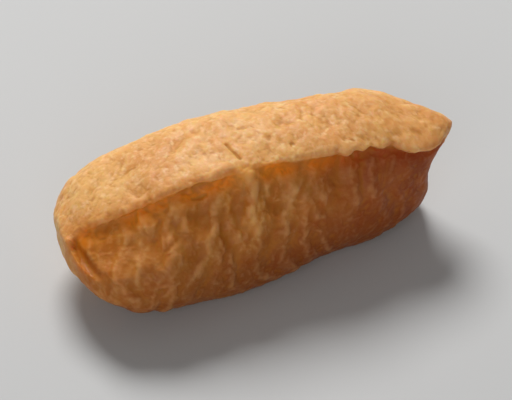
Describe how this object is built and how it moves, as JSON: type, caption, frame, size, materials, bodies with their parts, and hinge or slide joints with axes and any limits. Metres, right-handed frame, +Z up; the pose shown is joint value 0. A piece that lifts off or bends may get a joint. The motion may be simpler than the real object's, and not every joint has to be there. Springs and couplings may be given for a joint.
{
  "type": "inari sushi",
  "caption": "Long inari sushi: a simmered fried tofu pouch filled with rice, flat on top with an overhanging lip, a pointed ear at one end and a puckered front.",
  "frame": {"origin": "on the table, under the middle of the pouch's bounding box", "axes": "+X along the pouch towards its ear, +Y towards the smooth back, +Z up"},
  "size_m": [0.0866, 0.0376, 0.0327],
  "materials": {
    "fried_tofu": "moist simmered fried tofu skin, satin, finely blistered"
  },
  "bodies": {
    "root": {"pouch": "fried_tofu"}
  },
  "joints": []
}
